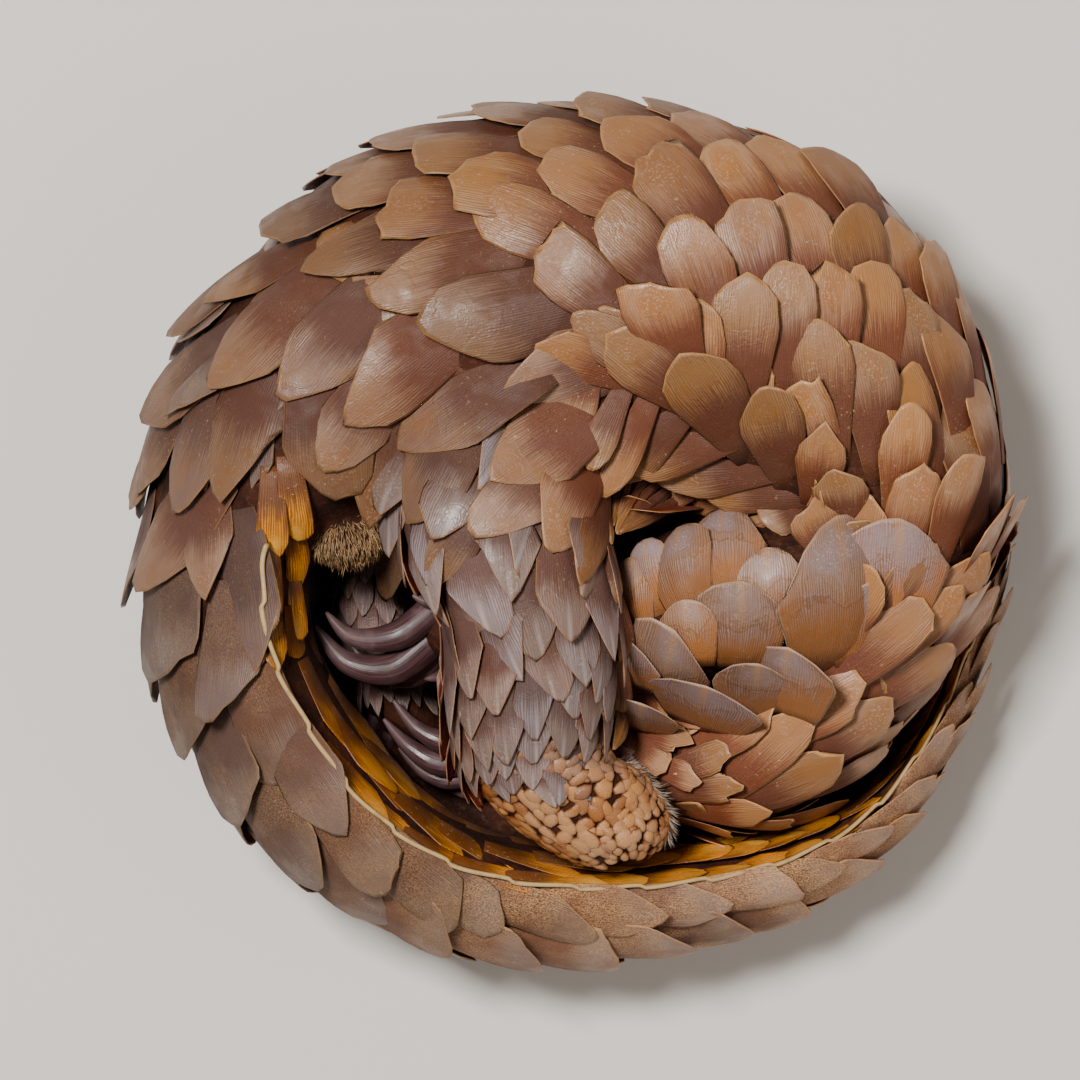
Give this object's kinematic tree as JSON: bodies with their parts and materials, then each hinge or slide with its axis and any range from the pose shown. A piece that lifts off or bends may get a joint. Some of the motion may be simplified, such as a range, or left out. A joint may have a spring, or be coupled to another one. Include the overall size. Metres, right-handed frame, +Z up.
{
  "type": "curled ground pangolin",
  "caption": "Life-size still model of a ground pangolin curled up on its side, tail wrapped round, with overlapping raised scales, clawed feet and tucked head.",
  "frame": {"origin": "on the ground under the middle of the bounding box", "axes": "+Z up; +Y from the wrapped tail towards the arched back; +X towards the shoulders and the tail's tip"},
  "size_m": [0.3612, 0.3542, 0.1936],
  "materials": {
    "body_scales": "horny tan-brown scales, satin, finely striated",
    "tail_scales": "dusty grey-brown scales with a pale rim, amber belly side",
    "leg_scales": "keeled mauve-brown scales, satin",
    "head_hide": "small brown scales and greyish skin",
    "foot_skin": "granular tan and orange skin",
    "claw_horn": "glossy mauve-grey horn",
    "eye": "wet black"
  },
  "bodies": {
    "root": {"claw_fore_left_1": "claw_horn", "claw_fore_left_2": "claw_horn", "claw_fore_left_3": "claw_horn", "claw_fore_left_4": "claw_horn", "claw_fore_left_5": "claw_horn", "claw_fore_right_1": "claw_horn", "claw_fore_right_2": "claw_horn", "claw_fore_right_3": "claw_horn", "claw_fore_right_4": "claw_horn", "claw_fore_right_5": "claw_horn", "claw_hind_left_1": "claw_horn", "claw_hind_left_2": "claw_horn", "claw_hind_left_3": "claw_horn", "claw_hind_left_4": "claw_horn", "claw_hind_left_5": "claw_horn", "claw_hind_right_1": "claw_horn", "claw_hind_right_2": "claw_horn", "claw_hind_right_3": "claw_horn", "claw_hind_right_4": "claw_horn", "claw_hind_right_5": "claw_horn", "eye_left": "eye", "eye_right": "eye", "fore_foot_left": "foot_skin", "fore_foot_right": "foot_skin", "fore_leg_left": "leg_scales", "fore_leg_right": "leg_scales", "head": "head_hide", "hind_foot_left": "foot_skin", "hind_foot_right": "foot_skin", "hind_leg_left": "leg_scales", "hind_leg_right": "leg_scales", "neck_back": "body_scales", "neck_front": "body_scales", "tail_1": "tail_scales", "tail_2": "tail_scales", "tail_3": "tail_scales", "tail_4": "tail_scales", "tail_5": "tail_scales", "torso_chest": "body_scales", "torso_hips": "body_scales", "torso_loins": "body_scales", "torso_shoulders": "body_scales"}
  },
  "joints": []
}
